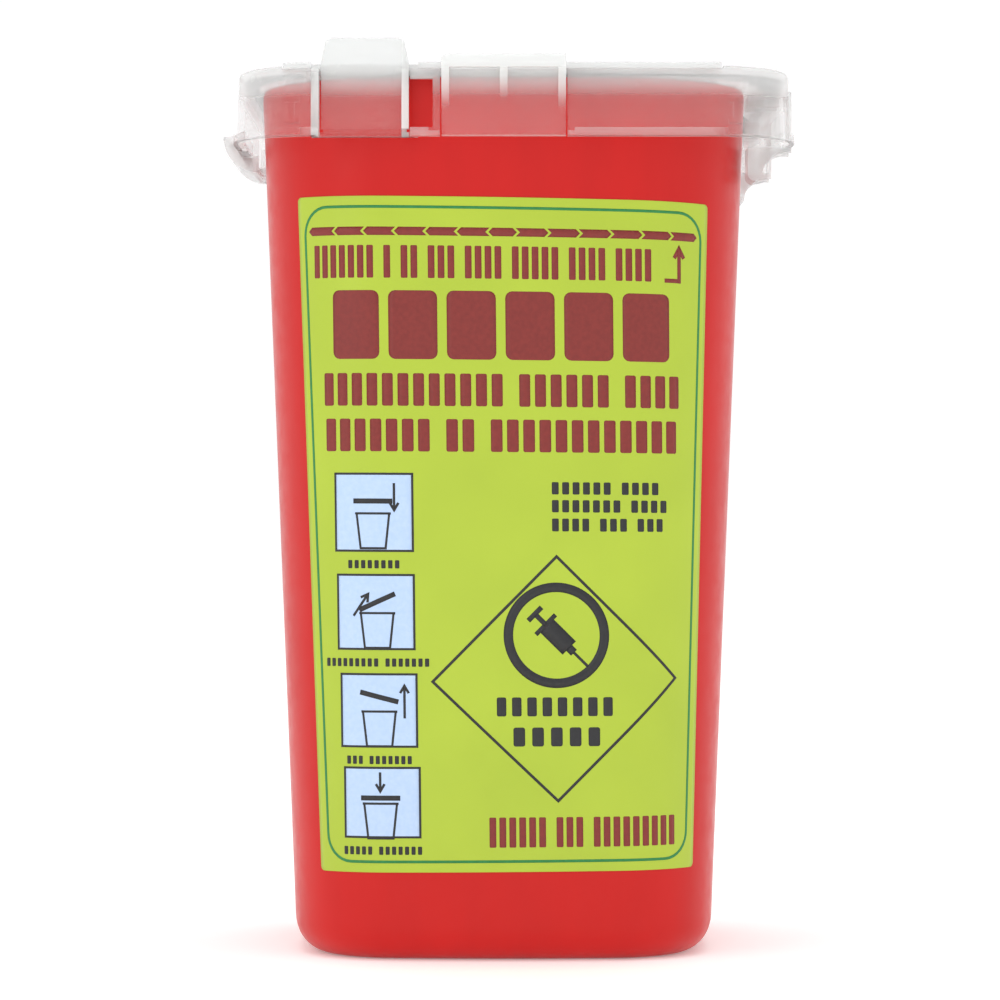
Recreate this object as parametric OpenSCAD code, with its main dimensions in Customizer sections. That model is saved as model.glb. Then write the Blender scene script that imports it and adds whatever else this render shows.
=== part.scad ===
// Sharps container of one litre: a tapered square tub, a press-on lid with a drop flap and a latch
// tongue that bend on living hinges, and a label on the front of the tub.
// Origin: middle of the base, on the surface it stands on. -Y is the labelled front, +Z is up.

/* [Tub] */
// Height of the tub from base to rim
tub_h = 158; // [120:1:220]
// Width of the tub across the rim
rim_w = 90.4; // [75:0.1:115]
// Width of the tub across the base, before its bottom edge is rounded
base_w = 77.6; // [60:0.1:95]
// Corner radius at the rim
rim_corner_r = 25; // [15:0.5:30]
// Corner radius at the base
base_corner_r = 19; // [12:0.5:24]
// Radius of the slight outward bow of each side
side_bow_r = 210; // [150:10:600]
// Wall of the tub
tub_wall = 1.3; // [0.9:0.1:2.2]
// Radius of the tub's bottom edge
foot_r = 6; // [3:0.5:8]
// Height of the recess under the base
kick_h = 1.2; // [0.6:0.1:2.5]
// Width of the standing ring round that recess
foot_ring_w = 4; // [2:0.5:8]

/* [Lid] */
// Reach of the skirt beyond the rim, on the left
over_left = 3; // [2.8:0.1:6]
// Reach of the skirt beyond the rim, on the right
over_right = 6.6; // [6:0.1:10]
// Reach of the skirt beyond the rim, in front and behind
over_front = 4.5; // [4.2:0.1:8]
// Corner radius of the lid
lid_corner_r = 15; // [10:0.5:22]
// Height of the skirt, deck included
skirt_h = 12.6; // [9:0.1:20]
// Wall of the skirt
skirt_wall = 1.2; // [0.8:0.1:2]
// Inward lean of the skirt over its height
skirt_lean = 0.5; // [0:0.1:1]
// Rounding of the lid's top edge
deck_edge_r = 0.9; // [0.4:0.1:1.5]
// Thickness of the deck
deck_t = 1.5; // [1.2:0.1:2.5]
// Height of the band round the bottom of the skirt
bead_h = 1.5; // [0.8:0.1:2.5]
// Stand-out of that band
bead_out = 0.6; // [0.3:0.1:1.2]
// Depth of the ring that plugs into the rim
plug_h = 3.2; // [2:0.1:6]
// Wall of that ring
plug_wall = 1.1; // [0.8:0.1:2]
// Clearance between the ring and the inside of the rim
plug_gap = 0.3; // [0.15:0.05:0.8]

/* [Flap] */
// Width of the deck left of the flap
deck_left_w = 9.1; // [8:0.1:11]
// Width of the deck right of the flap
deck_right_w = 13.2; // [10:0.1:16]
// Depth of the deck behind the flap's hinge
deck_back_w = 27.7; // [23:0.1:36]
// Thickness of the flap
flap_t = 1.1; // [0.8:0.1:1.6]
// Depth of the rebate that the flap lies in
rebate_h = 0.6; // [0.3:0.05:0.9]
// Width of the ledge that carries the flap
ledge_w = 5.5; // [3:0.5:9]
// Corner radius of the drop aperture
aperture_r = 9; // [4:0.5:14]
// Radius of the larger needle keyhole
big_key_r = 2.6; // [1.5:0.1:3]
// Radius of the smaller needle keyhole
small_key_r = 1.9; // [1:0.1:2.5]
// Depth of the flap's closing rim
closing_rim_h = 0.9; // [0.6:0.1:1]
// Wall of the flap's closing rim
rim_t = 1; // [0.7:0.1:1.6]
// Gap all round the flap and between its rim and the aperture
flap_gap = 0.25; // [0.2:0.05:0.8]
// Width of the bending film, along the flap
film_w = 1.6; // [1.4:0.1:2.4]
// Thickness of the bending films
film_t = 0.4; // [0.25:0.05:0.5]

/* [Flap latch] */
// Width of the latch apron in the middle of the front
apron_w = 22; // [16:0.5:23]
// Depth of the apron below the top of the flap
apron_h = 13.1; // [7:0.1:14]
// Reach of the thumb lip in front of the skirt
thumb_out = 2.4; // [1.5:0.1:5]
// Height of the thumb lip above the flap
thumb_up = 1.2; // [0.6:0.1:2.5]
// Thickness of the apron and the thumb lip
thumb_t = 1.1; // [0.8:0.1:1.6]
// Thickness of each gusset
gusset_t = 1.4; // [0.9:0.1:2.5]
// Height of the two outer gussets
gusset_h = 9.2; // [5:0.1:12]
// Height of the middle gusset
mid_gusset_h = 7.2; // [4:0.1:10]

/* [Latch tongue] */
// Middle of the tongue, from the left side of the lid
tongue_in = 23.6; // [21:0.1:26]
// Width of the tongue at its root
tongue_w = 15.6; // [10:0.1:17]
// Height of the tongue above the flap
tongue_up = 4.5; // [2:0.1:9]
// Thickness of the tongue
tongue_t = 1.0; // [0.7:0.1:1.8]
// Narrowing of each side of the tongue towards its top
tongue_lean = 0.7; // [0:0.1:2]
// Corner radius at the top of the tongue
tongue_tip_r = 1.2; // [0.5:0.1:3]
// Gap between the tongue and the tub
tongue_gap = 1.0; // [0.5:0.1:2]
// Gap beside and around the tongue
tongue_side_gap = 0.25; // [0.2:0.05:0.8]
// Width of the window beside the tongue
window_w = 4; // [2:0.1:4.5]
// Height of the window above the bottom band
window_h = 8.7; // [4:0.1:9]
// Rib along the right edge of the tongue, width
tongue_rib = 1.3; // [0.8:0.1:2]
// Upright wall at the left of the tongue, width
pocket_rib = 1.4; // [0.8:0.1:2]

/* [Grips] */
// Radius of the round grip lip on the left
grip_r = 6.6; // [6:0.1:9]
// Length of the grip lip
grip_len = 24; // [14:1:40]
// Wall of the grip lip and the brackets
grip_wall = 1.1; // [0.8:0.1:2]
// Distance of each right-hand bracket from the middle
bracket_y = 25; // [14:0.5:26]
// Length of each bracket
bracket_len = 8; // [5:0.5:12]
// Drop of the bracket's leg below the skirt
bracket_drop = 6; // [3:0.1:9]
// Drop of the bracket's outer end below the skirt
bracket_shelf = 0.8; // [0:0.1:2]
// Height of the finger notch in the skirt, between and behind the brackets
finger_notch_h = 3.6; // [1:0.1:6]
// Thickness of the bracket's leg
leg_t = 2.6; // [1.5:0.1:4]
// Radius of the hollow under the bracket
bracket_hollow_r = 4.4; // [2:0.1:6]
// Gap between the tub's rim and the grip lip as the lid lifts
grip_gap = 0.5; // [0.3:0.1:1.5]
// Gap between the tub's rim and the brackets' legs as the lid lifts
leg_gap = 0.3; // [0.3:0.1:1.5]
// Height of the grip lip's middle above the bottom of the skirt
grip_rise = 3.8; // [1.5:0.1:4]
// Distance of the snap ribs from the sides of the lid
rib_in = 10.6; // [9.5:0.1:13]
// Thickness of each snap rib
rib_t = 0.9; // [0.7:0.1:1.5]
// Width of a snap rib's foot and head
rib_foot_w = 2.8; // [2:0.1:4]

/* [Label] */
// Width of the label at its top
label_top_w = 73.6; // [50:0.2:76]
// Width of the label at its bottom
label_bottom_w = 67.2; // [45:0.2:70]
// Height of the label
label_h = 120.4; // [80:0.2:124]
// Bottom of the label above the base
label_z = 16.2; // [8:0.2:24]
// Thickness of the label
label_t = 0.12; // [0.08:0.01:0.3]

/* [Hidden] */

slice = 0.01;                // thickness of the slices that shells are drawn through
seat_gap = 0.05;             // between the rim and the deck that rests on it
glue_gap = 0.02;             // between the tub and the label
past = 1;                    // how far a cut runs past a face
bite = 0.2;                  // how far a piece is set into the one that it is moulded on
side_n = 8;                  // steps along one side of an outline
corner_n = 12;               // steps round one corner
min_edge_r = 1;              // least rounding of the bottom edge, inside the wall
floor_z = kick_h + tub_wall; // inside floor of the tub

deck_z = tub_h + seat_gap;          // underside of the deck
top_z = deck_z + deck_t;            // top of the deck
skirt_z = top_z - skirt_h;          // bottom of the skirt
lid_l = -rim_w / 2 - over_left;     // the skirt's four sides, at its bottom
lid_r = rim_w / 2 + over_right;
lid_f = -rim_w / 2 - over_front;
lid_b = rim_w / 2 + over_front;
front = lid_f + skirt_lean;         // its front at the deck
flap_z = top_z - rebate_h + seat_gap;
flap_top = flap_z + flap_t;

flap_left = lid_l + deck_left_w;
flap_right = lid_r - deck_right_w;
hinge_back = lid_b - deck_back_w;
tongue_room = 3;                    // deck kept for the tongue, in front of the ledge
hinge_ledge = 3;                    // deck kept in front of the flap's hinge
ap_left = flap_left + ledge_w;
ap_right = flap_right - ledge_w;
ap_front = front + ledge_w + tongue_room;
ap_back = hinge_back - hinge_ledge;
apron_l = -apron_w / 2;
apron_r = apron_w / 2;
apron_z = flap_top - apron_h;
thumb_y = front - thumb_out;        // front of the thumb lip

tongue_x = lid_l + tongue_in;
tongue_y = -(rim_w / 2 + tongue_gap + tongue_t); // front of the tongue
tongue_left = tongue_x - tongue_w / 2;
tongue_right = tongue_x + tongue_w / 2;
tongue_back = tongue_y + tongue_t;
root_h = 0.9;                                     // bar that the tongue is rooted on
root_film_h = 0.6;                                // film that the tongue bends on
tongue_z = skirt_z + root_h + root_film_h;
tongue_top = flap_top + tongue_up;
pocket_l = tongue_left - tongue_side_gap;
pocket_r = tongue_right + tongue_side_gap;
window_right = pocket_r + window_w;

// Half-width of the tub at a height
function half_w(z) = base_w / 2 + (rim_w - base_w) / 2 * z / tub_h;
function corner_at(z) = base_corner_r + (rim_corner_r - base_corner_r) * z / tub_h;

// How far the bowed side of the rim stands out, at a distance from the middle of that side
function rim_side(y) = rim_w / 2 - side_bow_r + sqrt(pow(side_bow_r, 2) - y * y);

// Half-width and corner radius of the plug ring
plug_half = half_w(tub_h - plug_h) - tub_wall - plug_gap;
plug_r = corner_at(tub_h - plug_h) - tub_wall - plug_gap;

// Middle of a corner arc that runs smoothly into two bowed sides
function corner_mid(h, r, bow) = let (c = h - bow) (c + sqrt(2 * pow(bow - r, 2) - c * c)) / 2;

// A point turned by q quarter turns
function turned(q, p) =
    [p[0] * cos(90 * q) - p[1] * sin(90 * q), p[0] * sin(90 * q) + p[1] * cos(90 * q)];

// Square with bowed sides and round corners, as points
function outline(h, r, bow) =
    let (m = corner_mid(h, r, bow), a = atan(m / (m - h + bow)))
    [for (q = [0:3]) each concat(
        [for (i = [0:side_n - 1]) let (t = -a + 2 * a * i / side_n)
            turned(q, [h - bow + bow * cos(t), bow * sin(t)])],
        [for (i = [0:corner_n - 1]) let (t = a + (90 - 2 * a) * i / corner_n)
            turned(q, [m + r * cos(t), m + r * sin(t)])])];

// Rectangle with round corners, as points
function rounded(x0, x1, y0, y1, r) =
    [for (q = [0:3]) for (i = [0:corner_n]) let (t = 90 * q + 90 * i / corner_n)
        [(q == 0 || q == 3 ? x1 - r : x0 + r) + r * cos(t), (q < 2 ? y1 - r : y0 + r) + r * sin(t)]];

module slab(z, t, points) translate([0, 0, z]) linear_extrude(t) polygon(points);
module block(x0, x1, y0, y1, z0, z1) translate([x0, y0, z0]) cube([x1 - x0, y1 - y0, z1 - z0]);

// Outline drawn in the XZ plane, run along Y
module along_y(y0, y1, points)
    translate([0, y1, 0]) rotate([90, 0, 0]) linear_extrude(y1 - y0) polygon(points);

// One slice of the tub's shape, moved in from the outside by a wall
module tub_slice(z, inset)
    slab(z, slice, outline(half_w(z) - inset, corner_at(z) - inset, side_bow_r - inset));

// The tub's shape up to z1, its bottom edge rounded, all moved in by a wall
module tub_shape(z0, z1, inset) {
    edge_r = max(foot_r - max(inset, 0), min_edge_r);
    hull() {
        for (t = [0:18:90])
            tub_slice(z0 + edge_r * (1 - cos(t)), inset + edge_r * (1 - sin(t)));
        tub_slice(z1 - slice, inset);
    }
}

module tub() {
    color("#d82a28")
    difference() {
        tub_shape(0, tub_h, 0);
        tub_shape(floor_z, tub_h + past, tub_wall);
        slab(-past, past + kick_h,
            outline(base_w / 2 - foot_r - foot_ring_w, base_corner_r - foot_r, side_bow_r));
    }
}

// Skin between the tub and a wider copy of it, cut to the label's outline
module front_label() {
    top = label_z + label_h;
    color("#bed74b")
    intersection() {
        difference() {
            tub_shape(0, tub_h, -glue_gap - label_t);
            tub_shape(0, tub_h, -glue_gap);
        }
        along_y(-rim_w, 0, [
            [-label_bottom_w / 2, label_z], [label_bottom_w / 2, label_z],
            [label_top_w / 2, top], [-label_top_w / 2, top]]);
    }
}

function lid_outline(in) = rounded(lid_l + in, lid_r - in, lid_f + in, lid_b - in, lid_corner_r - in);

// Skirt and deck as one shell, open below
module cap() {
    difference() {
        hull() {
            slab(skirt_z, slice, lid_outline(0));
            slab(top_z - deck_edge_r, slice, lid_outline(skirt_lean));
            slab(top_z - deck_edge_r * 0.3, slice, lid_outline(skirt_lean + deck_edge_r * 0.3));
            slab(top_z - slice, slice, lid_outline(skirt_lean + deck_edge_r));
        }
        hull() {
            slab(skirt_z - past, slice, lid_outline(skirt_wall));
            slab(deck_z - slice, slice, lid_outline(skirt_wall + skirt_lean));
        }
    }
}

// Band round the bottom of the skirt, with a gap behind the latch apron
module bead() {
    difference() {
        slab(skirt_z, bead_h, lid_outline(-bead_out));
        slab(skirt_z - past, bead_h + 2 * past, lid_outline(skirt_wall / 2));
        block(pocket_l, pocket_r, lid_f - past, lid_f + past, skirt_z - past, top_z);
        block(apron_l - 1.5 * bead_h, apron_r + bead_h, lid_f - past, lid_f + past, skirt_z + root_h, top_z);
    }
}

// Ring that plugs into the inside of the rim
module plug_ring() {
    difference() {
        slab(deck_z - plug_h, plug_h + slice, outline(plug_half, plug_r, side_bow_r));
        slab(deck_z - plug_h - past, plug_h + 2 * past,
            outline(plug_half - plug_wall, plug_r - plug_wall, side_bow_r));
    }
}

// Drop aperture as a block, moved in by a clearance, with its corners kept inside the plug ring
module aperture(z, t, in) {
    intersection() {
        slab(z, t, rounded(ap_left + in, ap_right - in, ap_front + in, ap_back - in, aperture_r - in));
        slab(z - past, t + 2 * past,
            outline(plug_half - plug_wall - in, plug_r - plug_wall - in, side_bow_r));
    }
}

// Keyhole that unscrews a needle, cut into the left edge of the drop aperture
module keyhole(y, r) {
    x = ap_left - r;
    translate([x, y, deck_z - past]) cylinder(r = r, h = deck_t + 2 * past, $fn = 32);
    block(x, ap_left + past, y - r / 2, y + r / 2, deck_z - past, top_z + past);
}

// Round grip lip below the left side: a quarter-round shell closed at its ends
module grip_lip() {
    x = -(rim_w / 2 + grip_gap);
    z = skirt_z + grip_rise;
    tip = x - grip_r;
    y = grip_len / 2;
    difference() {
        translate([x, y, z]) rotate([90, 0, 0]) cylinder(r = grip_r, h = grip_len, $fn = 64);
        translate([x, y - grip_wall, z]) rotate([90, 0, 0])
            cylinder(r = grip_r - grip_wall, h = grip_len - 2 * grip_wall, $fn = 64);
        block(x, x + 2 * grip_r, -grip_len, grip_len, z - 2 * grip_r, z + 2 * grip_r);
        block(tip - grip_r, x + past, -grip_len, grip_len, z, z + 2 * grip_r);
    }
    // sloping shoulder from the lip's edge back to the skirt
    along_y(-y, y, [
        [tip, z - grip_wall / 2], [tip + grip_wall, z - grip_wall],
        [lid_l + skirt_wall, z - grip_wall], [lid_l + skirt_wall, z + grip_r / 5],
        [lid_l + bite, z + grip_r / 5]]);
}

// One bracket of the right-hand pair: a leg beside the tub and two webs with a hollow under them
module bracket(y) {
    y0 = y - bracket_len / 2;
    y1 = y + bracket_len / 2;
    x0 = rim_side(min(abs(y0), abs(y1))) + leg_gap;
    hollow_x = x0 + leg_t + bracket_hollow_r;
    shelf_z = skirt_z - bracket_shelf;
    hollow_z = shelf_z - bracket_hollow_r;
    foot_z = skirt_z - bracket_drop + leg_t / 2;
    for (w = [y0, y1 - grip_wall])
        difference() {
            block(x0, lid_r + bead_out, w, w + grip_wall, foot_z, deck_z - deck_edge_r);
            translate([hollow_x, w - past, hollow_z]) rotate([-90, 0, 0])
                cylinder(r = bracket_hollow_r, h = grip_wall + 2 * past, $fn = 48);
            block(hollow_x, lid_r + bead_out + past, w - past, w + grip_wall + past, foot_z - past, shelf_z);
            block(x0 + leg_t, hollow_x + past, w - past, w + grip_wall + past, foot_z - past, hollow_z);
        }
    translate([x0 + leg_t / 2, y0, foot_z]) rotate([-90, 0, 0])
        cylinder(r = leg_t / 2, h = bracket_len, $fn = 32);
    block(x0, x0 + leg_t, y0, y1, foot_z, skirt_z + leg_t);
}

// One upright snap rib with a foot and a head, inside a corner of the skirt
module snap_rib(sx, sy) {
    x = sx < 0 ? lid_l + rib_in : lid_r - rib_in;
    z0 = skirt_z + 2 * bead_h - rib_t / 2;
    z1 = skirt_z + skirt_h / 2 + rib_t;
    for (b = [[rib_t, z0, z1], [rib_foot_w, z0, z0 + rib_t], [rib_foot_w, z1 - rib_t, z1]])
        mirror([0, sy > 0 ? 1 : 0, 0])
            block(x - b[0] / 2, x + b[0] / 2, lid_f + skirt_wall, lid_f + over_front - plug_gap, b[1], b[2]);
}

module lid_frame() {
    notch_y = front + skirt_wall + past;
    color("#eef0ef")
    union() {
        difference() {
            union() {
                cap();
                bead();
            }
            // rebate for the flap, open at the front
            block(flap_left - flap_gap, flap_right + flap_gap, lid_f - past, hinge_back,
                top_z - rebate_h, top_z + past);
            // drop aperture with its keyholes
            aperture(deck_z - past, deck_t + 2 * past, 0);
            keyhole(ap_back - (ap_back - ap_front) * 0.55, big_key_r);
            keyhole(ap_back - (ap_back - ap_front) * 0.3, small_key_r);
            // notch behind the latch apron
            block(apron_l - flap_gap, apron_r + flap_gap, lid_f - past, notch_y,
                apron_z - flap_gap, top_z + past);
            // pocket for the tongue, with the window beside it
            block(pocket_l, pocket_r, lid_f - past, tongue_back + tongue_gap / 2,
                skirt_z - past, top_z + past);
            block(pocket_r - past, window_right, lid_f - past, notch_y,
                skirt_z + bead_h, skirt_z + bead_h + window_h);
            // finger notch in the right side
            block(lid_r - skirt_wall - past, lid_r + bead_out + past,
                -bracket_y + bracket_len / 2, lid_b - lid_corner_r - bead_out,
                skirt_z - past, skirt_z + finger_notch_h);
        }
        plug_ring();
        grip_lip();
        for (s = [-1, 1])
            bracket(s * bracket_y);
        for (sx = [-1, 1], sy = [-1, 1])
            snap_rib(sx, sy);
        // upright wall at the left of the tongue, then the bar under it and the post at its right
        block(pocket_l - pocket_rib, pocket_l, lid_f, tongue_back, skirt_z, deck_z + bite);
        block(pocket_l - pocket_rib, pocket_r + pocket_rib, tongue_y, tongue_back, skirt_z, skirt_z + root_h);
        block(pocket_r + bite, pocket_r + pocket_rib, lid_f + skirt_wall / 2, tongue_back,
            skirt_z, skirt_z + root_h);
    }
}

// Film between the deck and the flap
module flap_hinge() {
    color("#f4f6f5")
    block(flap_left + film_w, flap_right - film_w, hinge_back - film_w, hinge_back, top_z - film_t, top_z);
}

// Film between the bar and the tongue
module tongue_hinge() {
    y = tongue_y + tongue_t / 2;
    color("#f4f6f5")
    block(tongue_left + film_t, tongue_right - film_t, y - film_t / 2, y + film_t / 2,
        skirt_z + root_h, tongue_z);
}

// One gusset that braces the apron under the thumb lip
module gusset(x, h) {
    y0 = thumb_y + bite;
    rotate([90, 0, 90]) translate([0, 0, x - gusset_t / 2]) linear_extrude(gusset_t)
        polygon([[y0, flap_top], [y0, flap_top - thumb_t], [front - thumb_t / 2, flap_top - h],
            [front + bite, flap_top - h], [front + bite, flap_top]]);
}

module drop_flap() {
    rim_in = flap_gap + rim_t;
    rim_z = flap_z - closing_rim_h;
    color("#eceeed")
    union() {
        difference() {
            intersection() {
                block(flap_left, flap_right, front, hinge_back - film_w, flap_z, flap_top);
                slab(flap_z - past, flap_t + 2 * past, lid_outline(skirt_lean));
            }
            // clear of the tongue through its whole swing, and of the wall and the post beside it
            block(pocket_l - pocket_rib, pocket_r + pocket_rib, front - past, tongue_back + tongue_gap / 2,
                flap_z - past, flap_top + past);
        }
        // closing rim that drops into the aperture
        difference() {
            aperture(rim_z, closing_rim_h + slice, flap_gap);
            aperture(rim_z - past, closing_rim_h + past, rim_in);
        }
        // latch apron and thumb lip
        block(apron_l, apron_r, front - bite, front + thumb_t, apron_z, flap_top);
        block(apron_l, apron_r, thumb_y, front + bite, flap_top - thumb_t, flap_top + thumb_up / 2);
        block(apron_l, apron_r, thumb_y, thumb_y + thumb_t, flap_top - thumb_t, flap_top + thumb_up);
        gusset(apron_l + gusset_t / 2, gusset_h);
        gusset(apron_r - gusset_t / 2, gusset_h);
        gusset(0, mid_gusset_h);
    }
}

module latch_tongue() {
    rib_out = tongue_t * 0.8; // the edge rib stands in front of the tongue by this much
    r = tongue_tip_r;
    left = tongue_left + tongue_lean + r; // middles of the two top corners
    right = tongue_right - tongue_lean - r;
    color("#e9ebea")
    union() {
        along_y(tongue_y, tongue_back, concat(
            [[tongue_left, flap_top], [tongue_left, tongue_z]],
            [[tongue_right, tongue_z], [tongue_right, flap_top]],
            [for (t = [0:15:90]) [right + r * cos(t), tongue_top - r + r * sin(t)]],
            [for (t = [90:15:180]) [left + r * cos(t), tongue_top - r + r * sin(t)]]));
        // rib along the right edge
        block(tongue_right - tongue_rib, tongue_right, tongue_y - rib_out, tongue_y + bite,
            tongue_z, flap_z);
    }
}

tub();
lid_frame();
flap_hinge();
drop_flap();
tongue_hinge();
latch_tongue();
front_label();
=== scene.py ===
"""A one-litre sharps container: red tub, translucent lid with a flap and a latch tongue, printed label."""

import math

import bmesh
import bpy
import numpy as np
from bpy.props import FloatProperty, IntProperty, PointerProperty, StringProperty
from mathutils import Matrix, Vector


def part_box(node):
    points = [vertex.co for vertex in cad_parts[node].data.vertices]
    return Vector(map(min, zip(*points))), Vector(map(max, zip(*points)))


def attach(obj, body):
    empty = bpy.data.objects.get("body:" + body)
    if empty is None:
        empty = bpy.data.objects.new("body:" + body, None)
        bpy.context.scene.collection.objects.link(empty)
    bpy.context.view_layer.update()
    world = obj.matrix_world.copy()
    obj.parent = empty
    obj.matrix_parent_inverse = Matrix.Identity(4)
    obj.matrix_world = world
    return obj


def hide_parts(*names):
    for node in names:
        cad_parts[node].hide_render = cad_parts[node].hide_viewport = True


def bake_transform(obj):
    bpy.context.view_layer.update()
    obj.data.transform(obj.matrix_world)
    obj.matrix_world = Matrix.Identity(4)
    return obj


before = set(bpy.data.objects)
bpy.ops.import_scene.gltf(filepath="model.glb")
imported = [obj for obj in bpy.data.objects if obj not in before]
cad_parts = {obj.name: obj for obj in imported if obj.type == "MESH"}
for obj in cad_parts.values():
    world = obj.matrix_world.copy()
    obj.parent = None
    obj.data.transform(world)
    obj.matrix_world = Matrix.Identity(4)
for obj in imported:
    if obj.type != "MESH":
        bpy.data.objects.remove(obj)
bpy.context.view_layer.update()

bl_info = {
    "name": "Sharps container",
    "version": (1, 0, 0),
    "blender": (4, 5, 0),
    "location": "View3D > Sidebar > Sharps container",
    "description": "Makes a tapered tub with a translucent lid and a printed label",
    "category": "Add Mesh",
}

MM = 0.001
FLOOR_REACH = 4.0
TUB_LOW, TUB_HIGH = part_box("tub")
LID_LOW, LID_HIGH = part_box("lid_frame")
FLAP_FILM_LOW, FLAP_FILM_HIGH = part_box("flap_hinge")
ROOT_FILM_LOW, ROOT_FILM_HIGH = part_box("tongue_hinge")
LABEL_LOW, LABEL_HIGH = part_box("front_label")
_, FLAP_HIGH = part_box("drop_flap")
TONGUE_LOW, TONGUE_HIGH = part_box("latch_tongue")

# where the lid's walls lie, for the places at which its plastic looks milky
BEAD_OUT = 0.6 * MM  # stand-out of the band round the skirt
SKIRT_WIDTH = 100 * MM
SKIRT_DROP = 14.35 * MM  # from the top of the thumb lip to the bottom of the skirt
DECK_DROP = 3.5 * MM  # from the top of the thumb lip to a little under the deck
SKIRT_FRONT = LID_LOW.y + BEAD_OUT
LID_SIDES = (LID_HIGH.x - BEAD_OUT - SKIRT_WIDTH, LID_HIGH.x - BEAD_OUT)
SKIRT_BOTTOM = FLAP_HIGH.z - SKIRT_DROP
DECK_LEVEL = FLAP_HIGH.z - DECK_DROP
POCKET_GAP = 0.25 * MM  # between the tongue and the upright wall at its left
POCKET_WALL = 0.7 * MM  # half the thickness of that wall
TONGUE_RIB = 0.65 * MM  # half the thickness of the rib along the tongue's right edge
UPRIGHT_RIBS = (  # middle and half-thickness of each, along X
    (TONGUE_LOW.x - POCKET_GAP - POCKET_WALL, POCKET_WALL),
    (TONGUE_HIGH.x - TONGUE_RIB, TONGUE_RIB),
)
DECK_MILK = 0.55  # milkiness of the deck, the flap and the top of the tongue
GRIP_MILK = 0.4  # milkiness of the lip and the brackets
CLEAR_ALPHA = 0.075  # how solid each face of a thin wall is, then of a corner, and of a thick place; the corner's extra solidity is painted shade for the curving wall seen aslant
CORNER_SHADE_ALPHA = 0.1
MILKY_ALPHA = 0.7
CORNER_SHADE_REACH = 2.5 * MM  # how far in from the rim's sides the corners' painted shade fades out
SOFT_EDGE = 0.12 * MM  # half the width over which a rib's milkiness fades
TRANSPARENT_BOUNCES = 32  # enough for every face of the lid that a line of sight crosses


# ---------------------------------------------------------------- sizes and colours


def length(name, description, default):
    """A length property in metres, shown in the scene's units."""
    return FloatProperty(
        name=name, description=description, default=default, unit="LENGTH", subtype="DISTANCE"
    )


def colour(name, description, default):
    """A colour property, kept as an sRGB hex value."""
    return StringProperty(name=name, description=description, default=default)


class TubSizes(bpy.types.PropertyGroup):
    """Sizes of the tub."""

    height: length("Height", "Base to rim", TUB_HIGH.z)
    rim_width: length("Rim width", "Width across the rim", TUB_HIGH.x - TUB_LOW.x)
    base_width: length("Base width", "Width across the base, before its edge is rounded", 77.6 * MM)
    rim_corner: length("Rim corner", "Corner radius at the rim", 25 * MM)
    base_corner: length("Base corner", "Corner radius at the base", 19 * MM)
    bow: length("Side bow", "Radius of the slight outward bow of each side", 210 * MM)
    wall: length("Wall", "Thickness of the wall", 1.3 * MM)
    foot: length("Foot", "Radius of the bottom edge", 6 * MM)
    kick: length("Kick", "Height of the recess under the base", 1.2 * MM)
    ring: length("Ring", "Width of the standing ring round the recess", 4 * MM)


class LidSizes(bpy.types.PropertyGroup):
    """Finish of the lid's moulded edges."""

    edge: length("Edge", "Rounding of the moulded edges", 0.22 * MM)
    edge_steps: IntProperty(name="Edge steps", description="Steps across each rounded edge", default=2)
    film_waist: FloatProperty(
        name="Film waist", description="Thickness of a bending film at its middle, as a share", default=0.6
    )


class LabelSizes(bpy.types.PropertyGroup):
    """Sizes of the label and its print."""

    top: length("Top", "Height of the label's top edge", LABEL_HIGH.z)
    bottom: length("Bottom", "Height of the label's bottom edge", LABEL_LOW.z)
    top_half: length("Top half-width", "Half of its width along the top, measured on the tub", 39.1 * MM)
    bottom_half: length("Bottom half-width", "Half of its width along the bottom", 35.5 * MM)
    stand: length("Stand", "Outer face of the label above the tub", 0.14 * MM)
    thickness: length("Thickness", "Thickness of the label", 0.12 * MM)
    ink: length("Ink", "Thickness of a layer of ink", 0.02 * MM)
    corner: length("Corner", "Corner radius of the label", 0.8 * MM)


class Colours(bpy.types.PropertyGroup):
    """Colours as sRGB hex values."""

    red: colour("Red", "Tub", "#c81410")
    deep_red: colour("Deep red", "Darker flow marks in the tub", "#c1120f")
    natural: colour("Natural", "Thin walls of the lid", "#f1f3f2")
    natural_shade: colour("Natural shade", "Slight unevenness of the lid", "#eceeed")
    # painted shade: the lid's corners are coloured darker than its front, for the curving wall seen aslant
    corner: colour("Corner", "Corners of the lid", "#dcdedd")
    milky: colour("Milky", "Thick places of the lid", "#e2e4e3")
    label: colour("Label", "Ground colour of the label", "#aec42c")
    label_shade: colour("Label shade", "Slight unevenness of the label", "#a8be29")
    maroon: colour("Maroon", "Large print", "#7a1f1a")
    keyline: colour("Keyline", "Line round the label", "#1d7a3a")
    black: colour("Black", "Small print and pictures", "#1b1b1e")
    panel: colour("Panel", "Ground of the pictures", "#b4cdf0")
    floor: colour("Floor", "Floor", "#fafaf9")
    floor_shade: colour("Floor shade", "Slight unevenness of the floor", "#f8f8f7")
    black_light: colour("Light black", "Mottle of the black ink", "#232326")
    keyline_light: colour("Light keyline", "Mottle of the green ink", "#268444")
    maroon_light: colour("Light maroon", "Mottle of the maroon ink", "#842620")
    panel_light: colour("Light panel", "Mottle of the blue ink", "#bdd3f2")


class StageSizes(bpy.types.PropertyGroup):
    """Camera and lights."""

    distance: length("Distance", "Camera to the middle of the tub", 0.7)
    eye: length("Eye height", "Height of the camera", 77.4 * MM)
    aim: length("Aim height", "Height that the camera looks at, over the middle of the tub", 83.1 * MM)
    side: length("Side", "How far the camera is left of the middle", 0.66 * MM)
    lens: FloatProperty(name="Lens", description="Focal length in millimetres", default=132.8)
    world: FloatProperty(name="World", description="Strength of the light from all round", default=1.02)
    key: FloatProperty(name="Key", description="Power of the key light in watts", default=1.2)
    fill: FloatProperty(name="Fill", description="Power of the fill light in watts", default=0.1)
    top: FloatProperty(name="Top", description="Power of the light above", default=1.4)


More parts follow.
